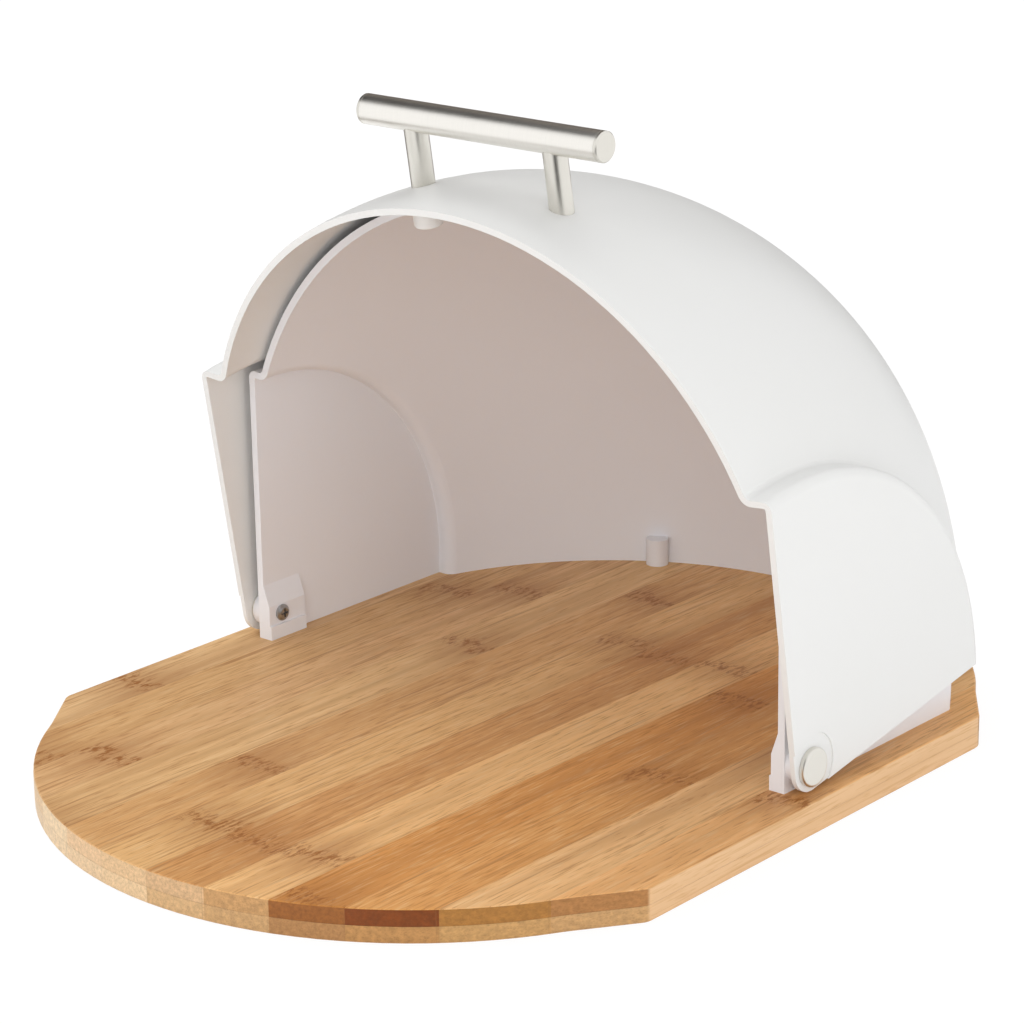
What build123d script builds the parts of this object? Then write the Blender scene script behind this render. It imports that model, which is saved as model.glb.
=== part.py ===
from build123d import *
import os
from math import cos, radians, sin, sqrt

# Bread box: a moulded lid that swings over a fixed rear shell, on a two-ply bamboo board.
# Millimetres. X runs along the lid's pivot, to the right seen from the front, Y runs to the back,
# and Z is up from the table. The origin is under the middle of the board, below the pivot.
# The lid stands open, resting on its stop.

os.makedirs("parts", exist_ok=True)

# Board: two plies with straight sides, clipped corners and arched ends, just larger than the closed box
board_side_margin = 5.6
board_end_margin = 2.0
board_side_setback = 8.0
board_shoulder_width = 17.7
board_shoulder_depth = 24.3
board_shoulder_radius = 60.0
board_corner_radius = 7.0
board_edge_radius = 0.8
ply_thickness = 6.6

# Pivot of the lid, and how far the open lid leans forward
pivot_height = 10.8
open_lean = 9.5

# Lid: outer sizes; radii named "reach" are measured from the pivot axis
lid_width = 288.8
lid_wall = 2.7
lid_shelf_reach = 114.0
lid_crown_reach = 204.0
lid_shelf_depth = 11.7
lid_shelf_fall = 1.0
lid_panel_round = 3.6
lid_foot_round = 2.5
lid_rim_offset = 9.9
pivot_recess_diameter = 27.0
pivot_recess_depth = 0.7

# Rear shell: nests in the lid with these gaps
shell_wall = 3.1
side_gap = 4.9
crown_gap = 4.3
shelf_gap = 3.8
shell_shelf_depth = 7.4
shell_shelf_fall = 0.6
shell_panel_round = 3.0
shell_foot_round = 2.0
shell_rim_offset = 7.3
shell_rim_lean = 0.5

# Pivot blocks at the rear shell's front corners
block_thickness = 6.2
block_back = 14.0
block_rise = 13.0
block_taper = 9.0
block_foot_thickness = 0.8
block_foot_height = 6.0
spacer_diameter = 14.0

# Hinge: barrel pin with a domed cap, clamped by a screw from inside, and a washer
pin_diameter = 5.0
pin_bore = 3.0
pin_setback = 1.2
cap_diameter = 15.4
cap_height = 2.6
cap_edge = 1.3
washer_thickness = 0.8
washer_diameter = 13.0
running_clearance = 0.05
axial_clearance = 0.1
hinge_screw_head = 7.0
hinge_screw_head_height = 1.9
hinge_screw_length = 9.0

# Handle: tube bar on two posts, held by screws from inside two bosses under the lid
bar_diameter = 12.0
bar_length = 119.0
bar_tube_wall = 1.0
bar_cap_thickness = 1.6
bar_cap_plug = 4.0
bar_cap_chamfer = 0.5
bar_rise = 28.0
post_diameter = 9.5
post_spacing = 69.0
post_setback = 21.2
seat_sink = 0.5
seat_floor = 4.0
boss_diameter = 11.6
boss_reach = 16.5
boss_bore = 8.8
boss_round = 0.9
stop_clearance = 0.3
handle_screw_diameter = 4.0
handle_screw_length = 15.0
handle_screw_head = 7.2
handle_screw_head_height = 2.6
screw_washer_diameter = 8.2
screw_washer_thickness = 0.8

# Screws from below that hold the rear shell down
base_screw_diameter = 3.5
base_screw_length = 16.0
base_screw_head = 6.8
base_screw_head_height = 2.2
base_counterbore = 7.6
base_counterbore_depth = 3.6
front_screw_setback = 8.5
rear_screw_spacing = 130.0
rear_boss_diameter = 10.0
rear_boss_height = 12.0
screw_hole_clearance = 0.2
seat_clearance = 0.05
recess_depth = 1.1
recess_width = 0.9

# Places worked out from the sizes above
board_half_width = lid_width / 2 + board_side_margin
board_crown = lid_crown_reach + board_end_margin
board_side = lid_shelf_reach - board_side_setback
board_top = 2 * ply_thickness
pivot_z = board_top + pivot_height
pivot_point = (0, 0, pivot_z)
pivot_axis = Axis(pivot_point, (1, 0, 0))
section_plane = Plane(origin=pivot_point, x_dir=(1, 0, 0), z_dir=(0, -1, 0))
lean = radians(open_lean)
lid_side = Plane(origin=pivot_point, x_dir=(0, cos(lean), sin(lean)), z_dir=(1, 0, 0))
lid_up = Plane(origin=pivot_point, x_dir=(1, 0, 0), z_dir=(0, -sin(lean), cos(lean)))
lid_up_axis = Axis(pivot_point, (0, -sin(lean), cos(lean)))


class Dome:
    """A shell turned about the pivot: flat end panels, a shelf stepped in from them, an arch."""

    def __init__(self, half_width, shelf_reach, crown_reach, shelf_depth, shelf_fall, rounds):
        self.half_width, self.shelf_reach, self.crown_reach = half_width, shelf_reach, crown_reach
        self.shelf_fall, self.rounds = shelf_fall, rounds
        half_arch = half_width - shelf_depth
        rise = crown_reach - shelf_reach
        self.arch_radius = (half_arch**2 + rise**2) / (2 * rise)
        self.arch_centre = crown_reach - self.arch_radius

    def reach(self, x):
        """Distance of the arch from the pivot axis at a place along it."""
        return self.arch_centre + sqrt(self.arch_radius**2 - x**2)

    def height(self, x, y):
        """Height of the arch over the pivot, y measured back from it."""
        return sqrt(self.reach(x) ** 2 - y**2)

    def section(self, inset=0.0):
        """Section on the side of the pivot axis that is turned, shrunk by the inset."""
        panel, shelf = self.half_width - inset, self.shelf_reach - inset
        low = shelf - self.shelf_fall
        foot = sqrt((self.arch_radius - inset) ** 2 - (low - self.arch_centre) ** 2)
        panel_round, foot_round = self.rounds
        with BuildSketch(section_plane) as outline:
            with BuildLine():
                Polyline((foot, low), (panel, shelf), (panel, 0), (-panel, 0), (-panel, shelf), (-foot, low))
                ThreePointArc((foot, low), (0, self.crown_reach - inset), (-foot, low))
            make_face()
            corners = outline.vertices().sort_by(Axis.Y)[2:].sort_by(Axis.X)
            fillet(corners[1:3], foot_round + inset)
            corners = outline.vertices().sort_by(Axis.Y)[2:].sort_by(Axis.X)
            fillet([corners[0], corners[-1]], max(panel_round - inset, 0.4))
        return outline.sketch


def board_plan(height):
    """Plan of the board at a height: the front half, mirrored to the back."""
    half, side = board_half_width, -board_side
    inner, end = half - board_shoulder_width, side - board_shoulder_depth
    with BuildSketch(Plane.XY.offset(height)) as plan:
        with BuildLine():
            Polyline((inner, end), (half, side), (half, 0), (-half, 0), (-half, side), (-inner, end))
            ThreePointArc((-inner, end), (0, -board_crown), (inner, end))
        make_face()
        fillet(plan.vertices().filter_by_position(Axis.Y, side - 0.01, side + 0.01), board_corner_radius)
        fillet(plan.vertices().filter_by_position(Axis.Y, end - 0.01, end + 0.01), board_shoulder_radius)
        mirror(about=Plane.XZ)
    return plan.sketch


def pan_head_screw(seat, diameter, length, head_diameter, head_height):
    """Screw with a crossed recess, whose head bears on the seat; the normal runs to its tip."""
    radius, head = diameter / 2, head_diameter / 2
    with BuildPart() as screw:
        with BuildSketch(Plane(origin=seat.origin, x_dir=seat.x_dir, z_dir=-seat.y_dir)):
            with BuildLine():
                Polyline((head, -0.5 * head_height), (head, 0), (radius, 0), (radius, length), (0, length),
                         (0, -head_height), (0.65 * head, -head_height), close=True)
            make_face()
        revolve(axis=Axis(seat.origin, seat.z_dir))
        with BuildSketch(seat.offset(-head_height)):
            Rectangle(0.55 * head_diameter, recess_width)
            Rectangle(recess_width, 0.55 * head_diameter)
        extrude(amount=recess_depth, mode=Mode.SUBTRACT)
    return screw.part


def shell_rim(z):
    """Y of the rear shell's front rim at a height."""
    rim_lean = radians(shell_rim_lean)
    return -(shell_rim_offset / cos(rim_lean) + (z - pivot_z) * sin(rim_lean) / cos(rim_lean))


lid_dome = Dome(lid_width / 2, lid_shelf_reach, lid_crown_reach, lid_shelf_depth, lid_shelf_fall,
                (lid_panel_round, lid_foot_round))
shell_dome = Dome(lid_width / 2 - lid_wall - side_gap, lid_shelf_reach - lid_wall - shelf_gap,
                  lid_crown_reach - lid_wall - crown_gap, shell_shelf_depth, shell_shelf_fall,
                  (shell_panel_round, shell_foot_round))

# Places along the pivot, from the outside in
lid_inner_x = lid_width / 2 - lid_wall
recess_x = lid_width / 2 - pivot_recess_depth
spacer_x = lid_inner_x - washer_thickness - 2 * axial_clearance
block_inner_x = shell_dome.half_width - block_thickness

# Where the handle's posts stand on the lid, along its up direction from the pivot
post_x = post_spacing / 2
post_radius = post_diameter / 2
post_points = [(-post_x, post_setback), (post_x, post_setback)]
seat_height = lid_dome.height(post_x + post_radius, post_setback + post_radius) - seat_sink
washer_height = seat_height - seat_floor
boss_height = lid_dome.height(post_x, post_setback) - boss_reach
bar_height = lid_dome.height(post_x, post_setback) + bar_rise

# Where the screws stand that hold the rear shell down
block_screw_x = shell_dome.half_width - block_thickness / 2
rear_screw_x = rear_screw_spacing / 2
rear_wall_y = sqrt((shell_dome.reach(rear_screw_x) - shell_wall) ** 2 - pivot_height**2)
rear_screw_y = rear_wall_y - rear_boss_diameter / 2 + 0.5 * shell_wall
base_screw_points = [(side * x, y) for side in (-1, 1)
                     for x, y in ((block_screw_x, front_screw_setback), (rear_screw_x, rear_screw_y))]

# Bottom ply, with the counterbores for the screws
with BuildPart() as board_bottom_ply:
    extrude(board_plan(0), amount=ply_thickness)
    fillet(board_bottom_ply.faces().sort_by(Axis.Z)[0].edges(), board_edge_radius)
    with BuildSketch():
        with Locations(*base_screw_points):
            Circle(base_counterbore / 2)
    extrude(amount=base_counterbore_depth, mode=Mode.SUBTRACT)
    with BuildSketch():
        with Locations(*base_screw_points):
            Circle(base_screw_diameter / 2 + screw_hole_clearance)
    extrude(amount=ply_thickness, mode=Mode.SUBTRACT)

# Top ply, glued to the bottom one
with BuildPart() as board_top_ply:
    extrude(board_plan(ply_thickness), amount=ply_thickness)
    fillet(board_top_ply.faces().sort_by(Axis.Z)[-1].edges(), board_edge_radius)
    with BuildSketch(Plane.XY.offset(ply_thickness)):
        with Locations(*base_screw_points):
            Circle(base_screw_diameter / 2 + screw_hole_clearance)
    extrude(amount=ply_thickness, mode=Mode.SUBTRACT)

# Boss under each post: what the lid's hollow is cut back from, and what the rear rim makes room for
with BuildPart() as handle_boss:
    with BuildSketch(lid_up.offset(boss_height)):
        with Locations(*post_points):
            Circle(boss_diameter / 2)
    extrude(amount=lid_crown_reach - boss_height)
    fillet(handle_boss.faces().group_by(lid_up_axis)[0].edges(), boss_round)

# Hollow of the lid
with BuildPart() as lid_hollow:
    revolve(lid_dome.section(lid_wall), axis=pivot_axis)
    add(handle_boss.part, mode=Mode.SUBTRACT)

# Lid: the turned shell cut to a quarter by its two rims, with a rounded tab round the pivot
with BuildPart() as lid_shell:
    revolve(lid_dome.section(), axis=pivot_axis)
    add(lid_hollow.part, mode=Mode.SUBTRACT)
    with BuildSketch(lid_side) as quarter:
        with Locations((-lid_rim_offset, -lid_rim_offset)):
            Rectangle(1.2 * lid_crown_reach, 1.2 * lid_crown_reach, align=(Align.MIN, Align.MIN))
        fillet(quarter.vertices().group_by(Axis.X)[0].sort_by(Axis.Y)[0], lid_rim_offset)
    extrude(amount=lid_width / 2, both=True, mode=Mode.INTERSECT)
    for side in (-1, 1):
        with BuildSketch(Plane(origin=(side * recess_x, 0, pivot_z), z_dir=(side, 0, 0))):
            Circle(pivot_recess_diameter / 2)
        extrude(amount=2 * pivot_recess_depth, mode=Mode.SUBTRACT)
    with BuildSketch(lid_side):
        Circle(pin_diameter / 2 + running_clearance)
    extrude(amount=lid_width / 2, both=True, mode=Mode.SUBTRACT)
    with BuildSketch(lid_up.offset(seat_height)):
        with Locations(*post_points):
            Circle(post_radius + seat_clearance)
    extrude(amount=lid_crown_reach - seat_height, mode=Mode.SUBTRACT)
    with BuildSketch(lid_up.offset(boss_height)):
        with Locations(*post_points):
            Circle(boss_bore / 2)
    extrude(amount=washer_height - boss_height, mode=Mode.SUBTRACT)
    with BuildSketch(lid_up.offset(boss_height)):
        with Locations(*post_points):
            Circle(handle_screw_diameter / 2 + screw_hole_clearance)
    extrude(amount=seat_height - boss_height, mode=Mode.SUBTRACT)

# Pivot block: thickens the rear shell's front corner, tapered at its top and stepped at its foot
with BuildPart() as pivot_block:
    block_top = pivot_z + block_rise
    with BuildSketch(Plane.YZ.offset(block_inner_x)):
        with BuildLine():
            Polyline((shell_rim(board_top), board_top), (block_back, board_top), (block_back, block_top),
                     (shell_rim(block_top), block_top), close=True)
        make_face()
    extrude(amount=block_thickness - 0.5 * shell_wall)
    top_edge = pivot_block.edges().filter_by(Axis.Y).group_by(Axis.Z)[-1].sort_by(Axis.X)[0]
    chamfer(top_edge, block_taper, block_thickness - shell_wall,
            reference=pivot_block.faces().sort_by(Axis.X)[0])
    foot_top = board_top + block_foot_height
    with BuildSketch(Plane.YZ.offset(block_inner_x - block_foot_thickness)):
        with BuildLine():
            Polyline((shell_rim(board_top), board_top), (block_back, board_top), (block_back, foot_top),
                     (shell_rim(foot_top), foot_top), close=True)
        make_face()
    extrude(amount=block_foot_thickness)

# Rear shell: the smaller turned shell, standing on the board behind its upright rim
with BuildPart() as rear_shell:
    revolve(shell_dome.section(), axis=pivot_axis)
    revolve(shell_dome.section(shell_wall), axis=pivot_axis, mode=Mode.SUBTRACT)
    far = 1.2 * lid_crown_reach
    with BuildSketch(Plane.YZ):
        with BuildLine():
            Polyline((shell_rim(board_top), board_top), (far, board_top), (far, board_top + far),
                     (shell_rim(board_top + far), board_top + far), close=True)
        make_face()
    extrude(amount=lid_width / 2, both=True, mode=Mode.INTERSECT)
    add(pivot_block.part)
    mirror(pivot_block.part, about=Plane.YZ)
    with BuildSketch(Plane.XY.offset(board_top)):
        with Locations((-rear_screw_x, rear_screw_y), (rear_screw_x, rear_screw_y)):
            Circle(rear_boss_diameter / 2)
    extrude(amount=rear_boss_height)
    for side in (-1, 1):
        with BuildSketch(Plane(origin=(side * (shell_dome.half_width - 1), 0, pivot_z), z_dir=(side, 0, 0))):
            Circle(spacer_diameter / 2)
        extrude(amount=spacer_x - shell_dome.half_width + 1)
    with BuildSketch(Plane.YZ):
        with Locations((0, pivot_z)):
            Circle(pin_diameter / 2 + seat_clearance)
    extrude(amount=lid_width / 2, both=True, mode=Mode.SUBTRACT)
    with BuildSketch(Plane.XY.offset(board_top)):
        with Locations(*base_screw_points):
            Circle(base_screw_diameter / 2)
    extrude(amount=base_counterbore_depth + base_screw_length - board_top + 1, mode=Mode.SUBTRACT)
    with BuildSketch(lid_up.offset(boss_height - 5)):
        with Locations(*post_points):
            Circle(boss_diameter / 2 + stop_clearance)
    extrude(amount=lid_crown_reach - boss_height, mode=Mode.SUBTRACT)

# Screws up through the board into the rear shell
with BuildPart() as base_screws:
    for x, y in base_screw_points:
        add(pan_head_screw(Plane(origin=(x, y, base_counterbore_depth)), base_screw_diameter,
                           base_screw_length, base_screw_head, base_screw_head_height))

pieces = {
    "board_bottom_ply": board_bottom_ply,
    "board_top_ply": board_top_ply,
    "rear_shell": rear_shell,
    "lid_shell": lid_shell,
    "base_screws": base_screws,
}

# Hinge pieces, one set at each end of the pivot
for side, end_name in ((-1, "left"), (1, "right")):
    outward = Plane(origin=(side * (recess_x + axial_clearance), 0, pivot_z), z_dir=(side, 0, 0))
    with BuildPart() as hinge_pin:
        with BuildSketch(outward):
            Circle(cap_diameter / 2)
        extrude(amount=cap_height)
        fillet(hinge_pin.edges().sort_by(Axis.X)[-1 if side > 0 else 0], cap_edge)
        with BuildSketch(outward):
            Circle(pin_diameter / 2)
        extrude(amount=block_inner_x + pin_setback - recess_x - axial_clearance)
        with BuildSketch(Plane(origin=(side * block_inner_x, 0, pivot_z), z_dir=(side, 0, 0))):
            Circle(pin_bore / 2)
        extrude(amount=hinge_screw_length + 1, mode=Mode.SUBTRACT)
    with BuildPart() as hinge_washer:
        with BuildSketch(Plane(origin=(side * (spacer_x + axial_clearance), 0, pivot_z), z_dir=(side, 0, 0))):
            Circle(washer_diameter / 2)
            Circle(pin_diameter / 2 + running_clearance, mode=Mode.SUBTRACT)
        extrude(amount=washer_thickness)
    with BuildPart() as hinge_screw:
        add(pan_head_screw(Plane(origin=(side * block_inner_x, 0, pivot_z), z_dir=(side, 0, 0)), pin_bore,
                           hinge_screw_length, hinge_screw_head, hinge_screw_head_height))
    pieces[f"hinge_pin_{end_name}"] = hinge_pin
    pieces[f"hinge_washer_{end_name}"] = hinge_washer
    pieces[f"hinge_screw_{end_name}"] = hinge_screw

# Handle bar: a tube along the pivot's direction
bar_plane = Plane(origin=lid_side.from_local_coords((post_setback, bar_height, 0)),
                  x_dir=lid_side.x_dir, z_dir=(1, 0, 0))
bar_half_tube = bar_length / 2 - bar_cap_thickness
with BuildPart() as handle_bar:
    with BuildSketch(bar_plane):
        Circle(bar_diameter / 2)
        Circle(bar_diameter / 2 - bar_tube_wall, mode=Mode.SUBTRACT)
    extrude(amount=bar_half_tube, both=True)
pieces["handle_bar"] = handle_bar

# End cap, post, washer and screw at each end of the handle
for side, end_name in ((-1, "left"), (1, "right")):
    with BuildPart() as handle_end_cap:
        with BuildSketch(bar_plane.offset(side * bar_half_tube)):
            Circle(bar_diameter / 2)
        extrude(amount=side * bar_cap_thickness)
        outer_face = handle_end_cap.faces().sort_by(Axis.X)[-1 if side > 0 else 0]
        chamfer(outer_face.edges(), bar_cap_chamfer)
        with BuildSketch(bar_plane.offset(side * bar_half_tube)):
            Circle(bar_diameter / 2 - bar_tube_wall)
        extrude(amount=-side * bar_cap_plug)
    with BuildPart() as handle_post:
        with BuildSketch(lid_up.offset(seat_height)):
            with Locations((side * post_x, post_setback)):
                Circle(post_radius)
        extrude(amount=bar_height - seat_height)
        with BuildSketch(bar_plane):
            Circle(bar_diameter / 2)
        extrude(amount=bar_length / 2, both=True, mode=Mode.SUBTRACT)
        with BuildSketch(lid_up.offset(seat_height)):
            with Locations((side * post_x, post_setback)):
                Circle(handle_screw_diameter / 2)
        extrude(amount=handle_screw_length - screw_washer_thickness - seat_floor + 1, mode=Mode.SUBTRACT)
    with BuildPart() as handle_washer:
        with BuildSketch(lid_up.offset(washer_height)):
            with Locations((side * post_x, post_setback)):
                Circle(screw_washer_diameter / 2)
                Circle(handle_screw_diameter / 2 + screw_hole_clearance, mode=Mode.SUBTRACT)
        extrude(amount=-screw_washer_thickness)
    with BuildPart() as handle_screw:
        foot = lid_up.from_local_coords((side * post_x, post_setback, washer_height - screw_washer_thickness))
        add(pan_head_screw(Plane(origin=foot, x_dir=(1, 0, 0), z_dir=lid_up.z_dir), handle_screw_diameter,
                           handle_screw_length, handle_screw_head, handle_screw_head_height))
    pieces[f"handle_end_cap_{end_name}"] = handle_end_cap
    pieces[f"handle_post_{end_name}"] = handle_post
    pieces[f"handle_washer_{end_name}"] = handle_washer
    pieces[f"handle_screw_{end_name}"] = handle_screw

for name, piece in pieces.items():
    piece.part.label = name
    export_step(piece.part, f"parts/{name}.step")
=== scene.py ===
"""Looks of a bread box: a moulded lid that swings over a rear shell on a bamboo board.

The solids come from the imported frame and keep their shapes. This script gives each one the
finish of the real material, and stands the box in a small white studio seen from the
photograph's angle. Sizes and places on the pieces are in millimetres of the row frame, as their
names say. The studio's are in metres, which are Blender's own units.
"""

import logging
import math
from dataclasses import dataclass
from enum import Enum

import bmesh
import bpy
from mathutils import Matrix, Vector


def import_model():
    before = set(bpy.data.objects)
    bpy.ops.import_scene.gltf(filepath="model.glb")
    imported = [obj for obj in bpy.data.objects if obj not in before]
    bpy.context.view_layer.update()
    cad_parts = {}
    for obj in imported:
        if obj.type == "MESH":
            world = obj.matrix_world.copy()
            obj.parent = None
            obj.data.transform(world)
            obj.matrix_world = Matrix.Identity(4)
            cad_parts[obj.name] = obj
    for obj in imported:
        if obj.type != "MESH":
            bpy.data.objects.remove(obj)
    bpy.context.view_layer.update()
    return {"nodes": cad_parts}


LOG = logging.getLogger("bread_box")
MM = 0.001
WHITE = "FFFFFF"


def outward(azimuth: float, elevation: float) -> Vector:
    """Direction from the box outward.

    Args:
        azimuth: Degrees from the front towards the right.
        elevation: Degrees above the horizon.

    Returns:
        The unit direction.
    """
    turn, lift = math.radians(azimuth), math.radians(elevation)
    return Vector((math.sin(turn) * math.cos(lift), -math.cos(turn) * math.cos(lift),
                   math.sin(lift)))


def hex_linear(code: str) -> tuple[float, float, float, float]:
    """Turn an sRGB hex colour to linear light.

    Args:
        code: Colour as six hex digits.

    Returns:
        Red, green, blue and an alpha of 1, linear.
    """
    channels = [int(code[i:i + 2], 16) / 255 for i in (0, 2, 4)]
    linear = [c / 12.92 if c <= 0.04045 else ((c + 0.055) / 1.055) ** 2.4 for c in channels]
    return (*linear, 1.0)


class Nodes:
    """A node tree that is put together one node at a time."""

    def __init__(self, tree: bpy.types.NodeTree) -> None:
        """Take the tree and empty it."""
        self.tree = tree
        tree.nodes.clear()

    def add(self, kind: str, settings: dict | None = None, links: dict | None = None,
            output: str | int = 0) -> bpy.types.NodeSocket | None:
        """Add a shader node with its settings and links.

        Args:
            kind: Blender's name of the node, without its ShaderNode prefix.
            settings: Properties and unlinked inputs. "stops" is a ramp's way of joining its stops,
                and the place and colour of each.
            links: Sockets to link, by the name or number of the input that takes each.
            output: Name or number of the output that is handed back.

        Returns:
            The chosen output socket, or None for a node without one.
        """
        node = self.tree.nodes.new("ShaderNode" + kind)
        for name, value in (settings or {}).items():
            if name == "stops":
                ramp = node.color_ramp
                ramp.interpolation, stops = value
                for number, (place, colour) in enumerate(stops):
                    stop = ramp.elements[number] if number < 2 else ramp.elements.new(place)
                    stop.position, stop.color = place, colour
            elif isinstance(name, str) and hasattr(node, name):
                setattr(node, name, value)
            else:
                node.inputs[name].default_value = value
        for name, source in (links or {}).items():
            self.tree.links.new(source, node.inputs[name])
        return node.outputs[output] if len(node.outputs) else None

    def mix(self, part: bpy.types.NodeSocket, first: str | bpy.types.NodeSocket,
            second: str | bpy.types.NodeSocket) -> bpy.types.NodeSocket:
        """Mix two colours.

        Args:
            part: How much of the second colour shows, 0 to 1.
            first: A colour as six hex digits, or the socket that gives it.
            second: The other colour, likewise.

        Returns:
            The mixed colour.
        """
        colours = {"A": first, "B": second}
        plain = {name: hex_linear(it) for name, it in colours.items() if isinstance(it, str)}
        linked = {name: it for name, it in colours.items() if not isinstance(it, str)}
        return self.add("Mix", {"data_type": "RGBA", **plain}, {"Factor": part, **linked},
                        output="Result")

    def seen_straight(self) -> bpy.types.NodeSocket:
        """1 for rays from the camera, and for those that metal or glass sends on, 0 for light."""
        mirrored = self.add("Math", {"operation": "MAXIMUM"}, {
            0: self.add("LightPath", output="Is Camera Ray"),
            1: self.add("LightPath", output="Is Glossy Ray")})
        return self.add("Math", {"operation": "MAXIMUM"}, {
            0: mirrored, 1: self.add("LightPath", output="Is Transmission Ray")})


class Finish(Nodes):
    """The node tree of a material."""

    def __init__(self, name: str) -> None:
        """Start an empty material.

        Args:
            name: The material's name.
        """
        self.material = bpy.data.materials.new(name)
        self.material.use_nodes = True
        super().__init__(self.material.node_tree)

    def place_mm(self) -> bpy.types.NodeSocket:
        """Place on the piece in millimetres of the row frame."""
        place = self.add("TexCoord", output="Object")
        return self.add("VectorMath", {"operation": "SCALE", "Scale": 1 / MM}, {0: place})

    def vary(self, noise: bpy.types.NodeSocket, low: float, high: float) -> bpy.types.NodeSocket:
        """Turn noise into a number.

        Args:
            noise: The noise, most of which lies between 0.3 and 0.7.
            low: The number for 0.3 and less.
            high: The number for 0.7 and more.

        Returns:
            The number.
        """
        return self.add("MapRange", {"From Min": 0.3, "From Max": 0.7, "To Min": low,
                                     "To Max": high}, {"Value": noise})

    def close(self, surface: bpy.types.NodeSocket) -> bpy.types.Material:
        """Link the surface to the output and hand back the material."""
        self.add("OutputMaterial", links={"Surface": surface})
        return self.material


class Brushing(Enum):
    """Which way the fine scratches run on a brushed metal piece."""

    ROUND_THE_BAR = "round_the_bar"
    UP_THE_POST = "up_the_post"
    ACROSS_THE_END = "across_the_end"
    TURNED = "turned"


@dataclass(frozen=True)
class MouldedAbs:
    """White ABS, injection moulded in a fine blasted tool: even, satin, faintly wavy skin."""

    name: str
    colour: str = "E7E7E6"
    warm: str = "E5E5E3"
    roughness: float = 0.42
    roughness_change: float = 0.03
    ior: float = 1.53
    skin_wave_mm: float = 14.0
    skin_depth_mm: float = 0.01
    flow_mm: float = 60.0

    def make(self) -> bpy.types.Material:
        """Build the material. The waves move reflections a little, and the flow tints it.

        Returns:
            The material.
        """
        finish = Finish(self.name)
        place = finish.place_mm()
        flow = finish.add("TexNoise", {"Scale": 1 / self.flow_mm, "Detail": 2.0},
                          {"Vector": place})
        tint = finish.mix(flow, self.colour, self.warm)
        skin = finish.add("TexNoise", {"Scale": 1 / self.skin_wave_mm, "Detail": 1.0},
                          {"Vector": place})
        polish = finish.add("MapRange", {"To Min": self.roughness - self.roughness_change,
                                         "To Max": self.roughness + self.roughness_change},
                            {"Value": skin})
        wavy = finish.add("Bump", {"Distance": self.skin_depth_mm * MM}, {"Height": skin})
        return finish.close(finish.add(
            "BsdfPrincipled", {"IOR": self.ior},
            {"Base Color": tint, "Roughness": polish, "Normal": wavy}))


@dataclass(frozen=True)
class BambooStrip:
    """One strip of a ply: its tone on the face and at the sawn end, and the place of its node."""

    face: str
    end: str
    node_mm: float


@dataclass(frozen=True)
class Grain:
    """One pattern in the wood: the size of its grains, and how finely they are broken up."""

    across_mm: float
    along_mm: float
    detail: float = 0.0
    roughness: float = 0.5

    def stretched(self, finish: Finish, cane: bpy.types.NodeSocket) -> bpy.types.NodeSocket:
        """Place on the cane, counted in grains."""
        return finish.add("VectorMath", {"operation": "MULTIPLY", 1: (
            1 / self.across_mm, 1 / self.along_mm, 1 / self.across_mm)}, {0: cane})

    def noise(self, finish: Finish, cane: bpy.types.NodeSocket) -> bpy.types.NodeSocket:
        """The pattern, 0 to 1."""
        return finish.add("TexNoise", {"Scale": 1.0, "Detail": self.detail,
                                       "Roughness": self.roughness},
                          {"Vector": self.stretched(finish, cane)})


@dataclass(frozen=True)
class Strength:
    """How a value turns into a strength: none at one value, the most at the other."""

    none_at: float
    most_at: float
    most: float = 1.0
    smooth: bool = False

    def of(self, finish: Finish, value: bpy.types.NodeSocket) -> bpy.types.NodeSocket:
        """The strength that a value gives, from 0 to the most."""
        return finish.add("MapRange", {
            "interpolation_type": "SMOOTHSTEP" if self.smooth else "LINEAR",
            "From Min": self.none_at, "From Max": self.most_at, "To Max": self.most},
            {"Value": value})


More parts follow.
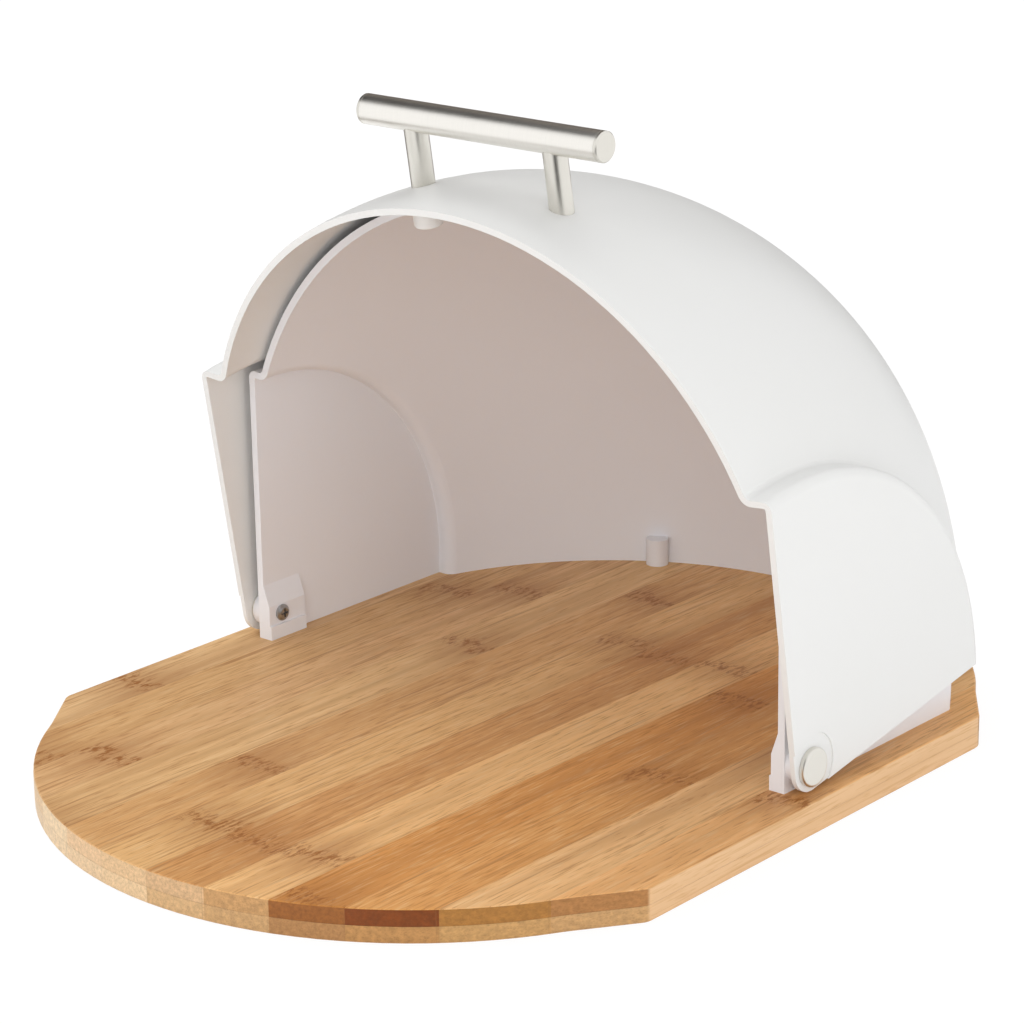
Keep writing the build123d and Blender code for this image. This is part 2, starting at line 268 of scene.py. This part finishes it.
@dataclass(frozen=True)
class BambooPly:
    """Bamboo strips glued side by side, sanded and oiled: long fibres, nodes, dotted ends."""

    name: str
    strips: tuple[BambooStrip, ...]
    strip_width_mm: float = 25.7
    middle_joint_mm: float = 0.5

    # The long side's paler tone is partly the bamboo's own and partly painted light, where the
    # right-hand lamps fall on it
    side: str = "E4BB8D"
    side_fibre: str = "C9975C"
    fibre_tint: str = "985C20"
    pale_tint: str = "EFD2A2"
    node_tint: str = "90510F"
    bundle_tint: str = "7A4F27"
    glue_tint: str = "8E623A"

    pore: Grain = Grain(0.9, 14.0, detail=2.0, roughness=0.6)
    fibre: Grain = Grain(1.6, 80.0, detail=3.0, roughness=0.65)
    streak: Grain = Grain(8.0, 230.0, detail=1.0)
    knot: Grain = Grain(1.5, 5.0, detail=3.0, roughness=0.65)
    ragged: Grain = Grain(9.0, 28.0, detail=3.0, roughness=0.6)
    mottle: Grain = Grain(1.6, 50.0, detail=3.0, roughness=0.6)
    bundle: Grain = Grain(0.75, 50.0)

    pore_dark: Strength = Strength(0.54, 0.70, most=0.56)
    pore_pale: Strength = Strength(0.46, 0.30, most=0.35)
    fibre_dark: Strength = Strength(0.53, 0.70, most=0.66)
    streak_dark: Strength = Strength(0.48, 0.72, most=0.34)
    dash_dark: Strength = Strength(0.40, 0.60, most=0.88)
    bundle_dark: Strength = Strength(0.45, 0.10, most=0.26)
    glue_dark: Strength = Strength(0.010, 0.002, most=0.22)
    is_end: Strength = Strength(0.12, 0.38, smooth=True)
    is_face: Strength = Strength(0.45, 0.75, smooth=True)
    mottle_change: float = 0.18

    cane_shift_mm: float = 311.0
    internode_mm: float = 245.0
    node_range_mm: float = 250.0
    node_half_mm: float = 12.0
    node_core: float = 0.15
    node_wander_mm: float = 13.0
    node_shade_reach: float = 3.0
    node_shade: float = 0.34

    roughness: float = 0.46
    roughness_change: tuple[float, float] = (-0.05, 0.09)
    oil_shine: float = 0.4
    ior: float = 1.47
    eased_mm: float = 0.5
    relief_mm: float = 0.03
    relief_strength: float = 0.25

    def steps(self, colours: list[tuple[float, float, float, float]]) -> tuple[str, list]:
        """Steps of a ramp, one to a strip.

        Args:
            colours: One colour to a strip, from left to right.

        Returns:
            The ramp's way of joining stops, and its stops.
        """
        count = len(colours)
        return "CONSTANT", [(number / count, colour) for number, colour in enumerate(colours)]

    def strip_place(self, finish: Finish, place: bpy.types.NodeSocket) -> bpy.types.NodeSocket:
        """Place across the ply, counted in strips.

        Args:
            finish: The material under work.
            place: Place on the ply in millimetres.

        Returns:
            The number of strips from the left edge of the first.
        """
        half = len(self.strips) / 2
        return finish.add("MapRange", {
            "clamp": False, "From Min": self.middle_joint_mm - half * self.strip_width_mm,
            "From Max": self.middle_joint_mm + half * self.strip_width_mm,
            "To Max": float(len(self.strips))},
            {"Value": finish.add("SeparateXYZ", links={0: place}, output="X")})

    def cane_place(self, finish: Finish, place: bpy.types.NodeSocket,
                   strips: bpy.types.NodeSocket) -> bpy.types.NodeSocket:
        """Place on the cane. Each strip is sawn from another one, so its pattern is another.

        Args:
            finish: The material under work.
            place: Place on the ply in millimetres.
            strips: Place across the ply, counted in strips.

        Returns:
            The place on the cane in millimetres.
        """
        number = finish.add("Math", {"operation": "FLOOR"}, {0: strips})
        shift = finish.add("CombineXYZ", links={"Y": finish.add(
            "Math", {"operation": "MULTIPLY", 1: self.cane_shift_mm}, {0: number})})
        return finish.add("VectorMath", {"operation": "ADD"}, {0: place, 1: shift})

    def fibres(self, finish: Finish, cane: bpy.types.NodeSocket
               ) -> tuple[bpy.types.NodeSocket, bpy.types.NodeSocket, bpy.types.NodeSocket]:
        """Dark and pale parts of the grain: short pores, long fibres and broad streaks.

        Args:
            finish: The material under work.
            cane: Place on the cane.

        Returns:
            How dark and how pale the grain is, and the height of the pores.
        """
        pore = self.pore.noise(finish, cane)
        fibre = self.fibre.noise(finish, cane)
        streak = self.streak.noise(finish, cane)
        lines = finish.add("Math", {"operation": "MAXIMUM"}, {
            0: self.pore_dark.of(finish, pore), 1: self.fibre_dark.of(finish, fibre)})
        dark = finish.add("Math", {"operation": "MAXIMUM"}, {
            0: lines, 1: self.streak_dark.of(finish, streak)})
        return dark, self.pore_pale.of(finish, pore), pore

    def node_bands(self, finish: Finish, place: bpy.types.NodeSocket,
                   cane: bpy.types.NodeSocket, share: bpy.types.NodeSocket
                   ) -> bpy.types.NodeSocket:
        """How dark each node of the cane is: a ragged band of short dashes in a faint shade.

        Args:
            finish: The material under work.
            place: Place on the ply in millimetres.
            cane: Place on the cane.
            share: Share of the way across all strips, which looks up each one's node.

        Returns:
            The darkness, 0 to 1.
        """
        # A ramp holds values from 0 to 1, so the places are packed into it and spread again
        looked_up = finish.add("ValToRGB", {"stops": self.steps(
            [(*[0.5 + strip.node_mm / (2 * self.node_range_mm)] * 3, 1.0)
             for strip in self.strips])}, {0: share})
        node_place = finish.add("MapRange", {
            "clamp": False, "To Min": -self.node_range_mm, "To Max": self.node_range_mm},
            {"Value": looked_up})
        wander = finish.add("MapRange", {
            "To Min": -self.node_wander_mm, "To Max": self.node_wander_mm},
            {"Value": self.ragged.noise(finish, cane)})
        from_node = finish.add("Math", {"operation": "SUBTRACT"}, {
            0: finish.add("SeparateXYZ", links={0: place}, output="Y"), 1: node_place})
        centred = finish.add("Math", {"operation": "PINGPONG", 1: 0.5 * self.internode_mm}, {
            0: finish.add("Math", {"operation": "ADD"}, {0: from_node, 1: wander})})
        band = Strength(self.node_half_mm, self.node_core * self.node_half_mm, smooth=True)
        shade = Strength(self.node_shade_reach * self.node_half_mm, 0.0, most=self.node_shade,
                         smooth=True)
        dashes = self.dash_dark.of(finish, self.knot.noise(finish, cane))
        return finish.add("Math", {"operation": "MAXIMUM"}, {
            0: finish.add("Math", {"operation": "MULTIPLY"}, {
                0: band.of(finish, centred), 1: dashes}),
            1: shade.of(finish, centred)})

    def face(self, finish: Finish, share: bpy.types.NodeSocket, dark: bpy.types.NodeSocket,
             pale: bpy.types.NodeSocket, nodes: bpy.types.NodeSocket) -> bpy.types.NodeSocket:
        """Colour of the planed face.

        Args:
            finish: The material under work.
            share: Share of the way across all strips, which looks up each one's tone.
            dark: How dark the grain is.
            pale: How pale the grain is.
            nodes: How dark the nodes are.

        Returns:
            The colour.
        """
        tone = finish.add("ValToRGB", {"stops": self.steps(
            [hex_linear(strip.face) for strip in self.strips])}, {0: share})
        paled = finish.mix(pale, tone, self.pale_tint)
        lined = finish.mix(dark, paled, self.fibre_tint)
        return finish.mix(nodes, lined, self.node_tint)

    def edge(self, finish: Finish, cane: bpy.types.NodeSocket, share: bpy.types.NodeSocket,
             dark: bpy.types.NodeSocket, facing_end: bpy.types.NodeSocket
             ) -> bpy.types.NodeSocket:
        """Colour of the edge: mottled ends with a dot for each bundle of fibres, and long sides
        painted paler, partly as painted light.

        Args:
            finish: The material under work.
            cane: Place on the cane.
            share: Share of the way across all strips, which looks up each one's tone.
            dark: How dark the grain is.
            facing_end: How far the edge looks along the fibres, 0 to 1.

        Returns:
            The colour.
        """
        tone = finish.add("ValToRGB", {"stops": self.steps(
            [hex_linear(strip.end) for strip in self.strips])}, {0: share})
        bundles = finish.add("TexVoronoi", {"Scale": 1.0},
                             {"Vector": self.bundle.stretched(finish, cane)}, output="Distance")
        dotted = finish.mix(self.bundle_dark.of(finish, bundles), tone, self.bundle_tint)
        mottled = finish.add("HueSaturation", links={"Color": dotted, "Value": finish.vary(
            self.mottle.noise(finish, cane), 1 - self.mottle_change, 1 + self.mottle_change)})
        # Long side: partly the bamboo's tone, partly painted light that makes it paler
        side = finish.mix(dark, self.side, self.side_fibre)
        return finish.mix(self.is_end.of(finish, facing_end), side, mottled)

    def make(self) -> bpy.types.Material:
        """Build the material. The way the wood faces tells its upper side from its edge.

        Returns:
            The material.
        """
        finish = Finish(self.name)
        place = finish.place_mm()
        strips = self.strip_place(finish, place)
        cane = self.cane_place(finish, place, strips)
        share = finish.add("Math", {"operation": "DIVIDE", 1: float(len(self.strips))},
                           {0: strips})
        dark, pale, height = self.fibres(finish, cane)
        nodes = self.node_bands(finish, place, cane, share)
        face = self.face(finish, share, dark, pale, nodes)

        facing = finish.add("VectorMath", {"operation": "ABSOLUTE"},
                            {0: finish.add("TexCoord", output="Normal")})
        edge = self.edge(finish, cane, share, dark,
                         finish.add("SeparateXYZ", links={0: facing}, output="Y"))
        upward = finish.add("SeparateXYZ", links={0: facing}, output="Z")
        colour = finish.mix(self.is_face.of(finish, upward), edge, face)

        # A fine dark line at each glued joint
        beside = finish.add("Math", {"operation": "PINGPONG", 1: 0.5}, {0: strips})
        glued = finish.mix(self.glue_dark.of(finish, beside), colour, self.glue_tint)

        sheen = finish.add("MapRange", {"To Min": self.roughness + self.roughness_change[0],
                                        "To Max": self.roughness + self.roughness_change[1]},
                           {"Value": height})
        eased = finish.add("Bevel", {"samples": 4, "Radius": self.eased_mm * MM})
        relief = finish.add("Bump", {"Strength": self.relief_strength,
                                     "Distance": self.relief_mm * MM},
                            {"Height": height, "Normal": eased})
        return finish.close(finish.add(
            "BsdfPrincipled", {"IOR": self.ior, "Specular IOR Level": self.oil_shine},
            {"Base Color": glued, "Roughness": sheen, "Normal": relief}))


@dataclass(frozen=True)
class BrushedStainless:
    """Stainless steel, brushed with a fine belt: soft bright body, fine scratches one way."""

    name: str
    brushing: Brushing
    centre_mm: tuple[float, float, float] = (0.0, 0.0, 0.0)
    colour: str = "E5E2DA"
    dimmest: float = 0.96
    roughness: float = 0.32
    roughness_change: tuple[float, float] = (-0.02, 0.03)
    scratch_mm: float = 0.4
    scratch_length_mm: float = 30.0
    eased_mm: float = 0.3

    def scratch_scale(self) -> tuple[float, float, float]:
        """How often the scratches repeat along X, Y and Z, in turns to a millimetre.

        The real scratches are about 0.05 mm apart, too fine to show, so they are drawn coarser.

        Returns:
            The turns along each axis.
        """
        fine, long = 1 / self.scratch_mm, 1 / self.scratch_length_mm
        return {
            Brushing.ROUND_THE_BAR: (fine, long, long),
            Brushing.UP_THE_POST: (fine, fine, long),
            Brushing.ACROSS_THE_END: (long, fine, long),
        }[self.brushing]

    def scratch_place(self, finish: Finish) -> bpy.types.NodeSocket:
        """Place on the piece, counted in scratches. Turned scratches are rings round its axis.

        Args:
            finish: The material under work.

        Returns:
            The place.
        """
        place = finish.place_mm()
        if self.brushing is not Brushing.TURNED:
            return finish.add("VectorMath", {"operation": "MULTIPLY", 1: self.scratch_scale()},
                              {0: place})
        offset = finish.add("VectorMath", {"operation": "SUBTRACT", 1: self.centre_mm},
                            {0: place})
        flat = finish.add("VectorMath", {"operation": "MULTIPLY", 1: (0.0, 1.0, 1.0)},
                          {0: offset})
        radius = finish.add("VectorMath", {"operation": "LENGTH"}, {0: flat}, output="Value")
        return finish.add("CombineXYZ", links={"X": finish.add(
            "Math", {"operation": "DIVIDE", 1: self.scratch_mm}, {0: radius})})

    def make(self) -> bpy.types.Material:
        """Build the material. The scratches change its roughness and its shine a little.

        Returns:
            The material.
        """
        finish = Finish(self.name)
        scratch = finish.add("TexNoise", {"Scale": 1.0, "Detail": 3.0, "Roughness": 0.7},
                             {"Vector": self.scratch_place(finish)})
        rough = finish.vary(scratch, self.roughness + self.roughness_change[0],
                            self.roughness + self.roughness_change[1])
        bright = finish.vary(scratch, self.dimmest, 1.0)
        tint = finish.add("VectorMath", {"operation": "SCALE", 0: hex_linear(self.colour)[:3]},
                          {"Scale": bright})
        eased = finish.add("Bevel", {"samples": 4, "Radius": self.eased_mm * MM})
        return finish.close(finish.add(
            "BsdfPrincipled", {"Metallic": 1.0},
            {"Base Color": tint, "Roughness": rough, "Normal": eased}))


@dataclass(frozen=True)
class ZincPlatedSteel:
    """Cold-headed steel screws, zinc plated: cool grey, faintly blotched."""

    name: str
    colour: str = "B9BCC0"
    dull: str = "A3A5A6"
    roughness: tuple[float, float] = (0.28, 0.48)
    blotch_mm: float = 1.5

    def make(self) -> bpy.types.Material:
        """Build the material. The blotches come from the plating bath.

        Returns:
            The material.
        """
        finish = Finish(self.name)
        place = finish.place_mm()
        blotch = finish.add("TexNoise", {"Scale": 1 / self.blotch_mm, "Detail": 2.0},
                            {"Vector": place})
        tint = finish.mix(blotch, self.colour, self.dull)
        rough = finish.add("MapRange", {"To Min": self.roughness[0], "To Max": self.roughness[1]},
                           {"Value": blotch})
        return finish.close(finish.add("BsdfPrincipled", {"Metallic": 1.0},
                                       {"Base Color": tint, "Roughness": rough}))


@dataclass(frozen=True)
class StampedNylon:
    """Natural nylon sheet, stamped to a washer: milky, dull, slightly uneven."""

    name: str
    colour: str = "E2DFD4"
    cloudy: str = "D3CFC1"
    roughness: tuple[float, float] = (0.42, 0.58)
    ior: float = 1.53
    cloud_mm: float = 2.5

    def make(self) -> bpy.types.Material:
        """Build the material. Its clouds are those of natural nylon.

        Returns:
            The material.
        """
        finish = Finish(self.name)
        place = finish.place_mm()
        cloud = finish.add("TexNoise", {"Scale": 1 / self.cloud_mm, "Detail": 2.0},
                           {"Vector": place})
        tint = finish.mix(cloud, self.colour, self.cloudy)
        rough = finish.add("MapRange", {"To Min": self.roughness[0], "To Max": self.roughness[1]},
                           {"Value": cloud})
        return finish.close(finish.add("BsdfPrincipled", {"IOR": self.ior},
                                       {"Base Color": tint, "Roughness": rough}))


def dress(node: bpy.types.Object, material: bpy.types.Material) -> None:
    """Put a material on every slot of a CAD node.

    Args:
        node: The node's object.
        material: The finish it gets.
    """
    for slot in node.material_slots:
        slot.material = material
    LOG.info("%s: %s", node.name, material.name)


@dataclass
class Board:
    """The bamboo board: two plies, whose strips run from front to back."""

    upper: tuple[BambooStrip, ...] = (
        BambooStrip("E1B783", "EBCFAE", -77.0),
        BambooStrip("D9AB74", "E9D3AF", -157.0),
        BambooStrip("DDAF7A", "D8B78D", -140.0),
        BambooStrip("E4B880", "E4C8A1", 42.0),
        BambooStrip("D8A56B", "DDB98F", -110.0),
        BambooStrip("E2B175", "DBB78B", -160.0),
        BambooStrip("D39A5D", "D0AA7F", -163.0),
        BambooStrip("EDBA7C", "BE9260", -159.0),
        BambooStrip("D7954E", "8F5725", -186.0),
        BambooStrip("DA9C58", "7A3C0C", -22.0),
        BambooStrip("E9B77D", "A47134", 30.0),
        BambooStrip("E9B072", "A97643", -12.0),
    )
    lower: tuple[BambooStrip, ...] = (
        BambooStrip("DEAF76", "E3BB8A", 60.0),
        BambooStrip("D8A76D", "E1BC8D", -30.0),
        BambooStrip("E1B479", "D8BC98", 90.0),
        BambooStrip("D8A569", "E2C6A0", -110.0),
        BambooStrip("DEAD71", "E0C199", 20.0),
        BambooStrip("D5A265", "E0C096", -60.0),
        BambooStrip("E0B074", "CEA879", 105.0),
        BambooStrip("DAA66A", "C29A6A", -15.0),
        BambooStrip("DDAA6C", "AB7D4E", 75.0),
        BambooStrip("D8A266", "B48550", -95.0),
        BambooStrip("E2B176", "BE935D", 45.0),
        BambooStrip("DCAB70", "C19765", -50.0),
    )

    def dress(self, nodes: dict[str, bpy.types.Object]) -> None:
        """Give each ply its bamboo.

        Args:
            nodes: The CAD nodes by name.
        """
        upper = BambooPly("bamboo_upper_ply_oiled", self.upper)
        lower = BambooPly("bamboo_lower_ply_oiled", self.lower)
        dress(nodes["board_top_ply"], upper.make())
        dress(nodes["board_bottom_ply"], lower.make())


@dataclass
class Shells:
    """The two moulded shells: the swinging lid and the fixed rear one."""

    lid_finish: MouldedAbs = MouldedAbs("abs_lid_moulded_satin")
    # The rear shell is the lid's ABS painted a little paler and bluer: painted light from the
    # right
    rear_finish_painted_paler: MouldedAbs = MouldedAbs("abs_rear_shell_moulded_satin", colour="EAEAEE",
                                         warm="E8E8EB", roughness=0.45)

    def dress(self, nodes: dict[str, bpy.types.Object]) -> None:
        """Give each shell its plastic."""
        dress(nodes["lid_shell"], self.lid_finish.make())
        dress(nodes["rear_shell"], self.rear_finish_painted_paler.make())


@dataclass
class Hinge:
    """The two pivots, and the screws that hold the rear shell to the board."""

    pivot_mm: tuple[float, float, float] = (0.0, 0.0, 24.0)

    def dress(self, nodes: dict[str, bpy.types.Object]) -> None:
        """Give the pins turned steel, and the hidden pieces plated steel and nylon.

        Args:
            nodes: The CAD nodes by name.
        """
        pin = BrushedStainless("stainless_pivot_cap_turned", Brushing.TURNED, self.pivot_mm,
                               roughness=0.31).make()
        screw = ZincPlatedSteel("steel_screw_zinc_plated").make()
        washer = StampedNylon("nylon_washer_stamped").make()
        for end in ("left", "right"):
            dress(nodes[f"hinge_pin_{end}"], pin)
            dress(nodes[f"hinge_screw_{end}"], screw)
            dress(nodes[f"hinge_washer_{end}"], washer)
        dress(nodes["base_screws"], screw)


@dataclass
class Handle:
    """The steel bar with its two posts, held from inside the lid."""

    # Painted light: the bar is the posts' steel painted paler, for the brightness it shows under
    # the softboxes
    bar_colour_painted_bright: str = "F7F4EE"

    def dress(self, nodes: dict[str, bpy.types.Object]) -> None:
        """Give the bar, caps and posts brushed steel, the bar's painted paler as painted light,
        and the hidden pieces plated steel.

        Args:
            nodes: The CAD nodes by name.
        """
        bar = BrushedStainless("stainless_bar_brushed", Brushing.ROUND_THE_BAR,
                               colour=self.bar_colour_painted_bright).make()
        post = BrushedStainless("stainless_post_brushed", Brushing.UP_THE_POST).make()
        cap = BrushedStainless("stainless_end_cap_brushed", Brushing.ACROSS_THE_END).make()
        screw = ZincPlatedSteel("steel_handle_screw_zinc_plated").make()
        dress(nodes["handle_bar"], bar)
        for end in ("left", "right"):
            dress(nodes[f"handle_end_cap_{end}"], cap)
            dress(nodes[f"handle_post_{end}"], post)
            dress(nodes[f"handle_screw_{end}"], screw)
            dress(nodes[f"handle_washer_{end}"], screw)


@dataclass(frozen=True)
class PhotoView:
    """Where the photograph was taken from, in degrees and millimetres."""

    azimuth: float = 40.54
    elevation: float = 18.01
    roll: float = 0.66
    distance_mm: float = 1343.8
    target_mm: tuple[float, float, float] = (-1.0, -0.9, 94.9)
    lens_mm: float = 120.17
    sensor_mm: float = 36.0

    def matrix(self) -> Matrix:
        """The camera's place and turn.

        Returns:
            The matrix in the row frame, in metres.
        """
        turn, tilt = math.radians(self.azimuth), math.radians(self.roll)
        back = outward(self.azimuth, self.elevation)
        level = Vector((math.cos(turn), math.sin(turn), 0.0))
        upright = back.cross(level)
        right = level * math.cos(tilt) - upright * math.sin(tilt)
        up = level * math.sin(tilt) + upright * math.cos(tilt)
        place = (Vector(self.target_mm) + back * self.distance_mm) * MM
        return Matrix.Translation(place) @ Matrix((right, up, back)).transposed().to_4x4()


@dataclass(frozen=True)
class Lamp:
    """A square softbox that looks at the middle of the box: degrees, watts and metres."""

    name: str
    azimuth: float
    elevation: float
    power: float
    side: float = 1.1
    distance: float = 1.7


@dataclass(frozen=True)
class Flag:
    """A dark card that only reflections see, as a studio's unlit part: degrees and metres."""

    name: str
    azimuth: float
    distance: float
    width: float
    height: float
    colour: str
    bottom: float = 0.0


@dataclass
class Studio:
    """White floor and sky, softboxes all round, dark cards, and the photograph's camera."""

    view: PhotoView = PhotoView()
    middle: tuple[float, float, float] = (0.0, 0.0, 0.11)
    floor_radius: float = 6.0
    floor_sides: int = 96
    floor_paper: str = "F4F4F4"
    floor_white: float = 0.88
    shadow_reach: tuple[float, float] = (0.5, 1.1)
    floor_glow: float = 1.05
    backdrop_glow: float = 1.04
    fill: float = 0.48
    lamps: tuple[Lamp, ...] = (
        Lamp("softbox_front", 30.0, 12.0, 8.0),
        Lamp("softbox_right", 85.0, 14.0, 6.0),
        Lamp("softbox_low_right", 62.0, 4.0, 3.2),
        Lamp("softbox_low_left", -20.0, 4.0, 2.5),
        Lamp("softbox_front_left", -38.0, 30.0, 5.0),
        Lamp("softbox_left", -90.0, 25.0, 5.5),
        Lamp("softbox_high_left", -100.0, 55.0, 5.5),
        Lamp("softbox_behind", 200.0, 60.0, 5.7),
        Lamp("softbox_back_right", 150.0, 20.0, 2.0),
    )
    flags: tuple[Flag, ...] = (
        Flag("flag_behind", 234.0, 0.55, 1.25, 1.4, "69625C"),
        Flag("flag_left", 272.0, 0.5, 0.52, 0.85, "1B1714", bottom=0.55),
        Flag("flag_left_low", 305.0, 0.25, 0.35, 0.085, "A8A39D"),
        Flag("flag_front", 42.1, 0.225, 0.13, 0.25, "15110F"),
    )

    def around(self, azimuth: float, elevation: float, distance: float) -> tuple[Vector, Vector]:
        """A place round the box, and the direction from there to its middle.

        Args:
            azimuth: Degrees from the front towards the right.
            elevation: Degrees above the horizon.
            distance: Metres from the middle.

        Returns:
            The place and the unit direction to the middle.
        """
        out = outward(azimuth, elevation)
        return Vector(self.middle) + out * distance, -out

    def build_floor(self) -> None:
        """Lay a round white floor. The camera sees it white, with a faint shadow by the box."""
        mesh = bpy.data.meshes.new("studio_floor")
        shape = bmesh.new()
        bmesh.ops.create_circle(shape, cap_ends=True, segments=self.floor_sides,
                                radius=self.floor_radius)
        shape.to_mesh(mesh)
        shape.free()
        floor = bpy.data.objects.new("studio_floor", mesh)
        bpy.context.scene.collection.objects.link(floor)
        finish = Finish("floor_white_paper")
        paper = finish.add("BsdfDiffuse", {"Color": hex_linear(self.floor_paper)})
        white = finish.add("Emission", {"Color": hex_linear(WHITE), "Strength": self.floor_glow})
        from_box = finish.add("VectorMath", {"operation": "LENGTH"},
                              {0: finish.add("TexCoord", output="Object")}, output="Value")
        near, far = self.shadow_reach
        whiter = finish.add("MapRange", {"From Min": near, "From Max": far,
                                         "To Min": self.floor_white}, {"Value": from_box})
        part = finish.add("Math", {"operation": "MULTIPLY"},
                          {0: finish.seen_straight(), 1: whiter})
        mesh.materials.append(finish.close(
            finish.add("MixShader", links={0: part, 1: paper, 2: white})))

    def build_world(self) -> None:
        """Light all round for the object, and plain white for the camera, metal and glass."""
        world = bpy.data.worlds.new("studio_world")
        bpy.context.scene.world = world
        world.use_nodes = True
        sky = Nodes(world.node_tree)
        light = sky.add("Background", {"Color": hex_linear(WHITE), "Strength": self.fill})
        backdrop = sky.add("Background", {"Color": hex_linear(WHITE),
                                          "Strength": self.backdrop_glow})
        mixed = sky.add("MixShader", links={0: sky.seen_straight(), 1: light, 2: backdrop})
        sky.add("OutputWorld", links={"Surface": mixed})

    def hang_lamps(self) -> None:
        """Hang the softboxes. Reflections leave them out, so the steel shows no burnt patch."""
        for lamp in self.lamps:
            data = bpy.data.lights.new(lamp.name, "AREA")
            data.shape, data.size, data.energy = "SQUARE", lamp.side, lamp.power
            light = bpy.data.objects.new(lamp.name, data)
            light.location, direction = self.around(lamp.azimuth, lamp.elevation, lamp.distance)
            light.rotation_euler = direction.to_track_quat("-Z", "Y").to_euler()
            light.visible_glossy = False
            bpy.context.scene.collection.objects.link(light)

    def stand_flags(self) -> None:
        """Put up the dark cards, turned to the middle."""
        for flag in self.flags:
            mesh = bpy.data.meshes.new(flag.name)
            shape = bmesh.new()
            bmesh.ops.create_grid(shape, x_segments=1, y_segments=1, size=0.5)  # 1 m wide
            bmesh.ops.scale(shape, vec=(flag.width, flag.height, 1.0), verts=shape.verts)
            shape.to_mesh(mesh)
            shape.free()
            card = bpy.data.objects.new(flag.name, mesh)
            place, direction = self.around(flag.azimuth, 0.0, flag.distance)
            card.location = (place.x, place.y, flag.bottom + 0.5 * flag.height)
            card.rotation_euler = direction.to_track_quat("-Z", "Y").to_euler()
            finish = Finish(flag.name + "_cloth")
            mesh.materials.append(finish.close(
                finish.add("Emission", {"Color": hex_linear(flag.colour)})))
            bpy.context.scene.collection.objects.link(card)
            card.visible_camera = card.visible_diffuse = card.visible_shadow = False
            card.visible_transmission = False

    def place_camera(self) -> None:
        """Set up the camera of the photograph."""
        data = bpy.data.cameras.new("photo_camera")
        data.lens, data.sensor_width = self.view.lens_mm, self.view.sensor_mm
        camera = bpy.data.objects.new("photo_camera", data)
        camera.matrix_world = self.view.matrix()
        bpy.context.scene.collection.objects.link(camera)
        bpy.context.scene.camera = camera

    def build(self) -> None:
        """Build the whole studio."""
        self.build_floor()
        self.build_world()
        self.hang_lamps()
        self.stand_flags()
        self.place_camera()
        bpy.context.scene.view_settings.view_transform = "Standard"
        LOG.info("studio: %d softboxes, %d dark cards", len(self.lamps), len(self.flags))


def main() -> None:
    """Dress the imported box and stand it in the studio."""
    logging.basicConfig(level=logging.INFO, format="%(name)s: %(message)s")
    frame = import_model()
    for assembly in (Board(), Shells(), Hinge(), Handle()):
        assembly.dress(frame["nodes"])
    Studio().build()


if __name__ == "__main__":
    main()
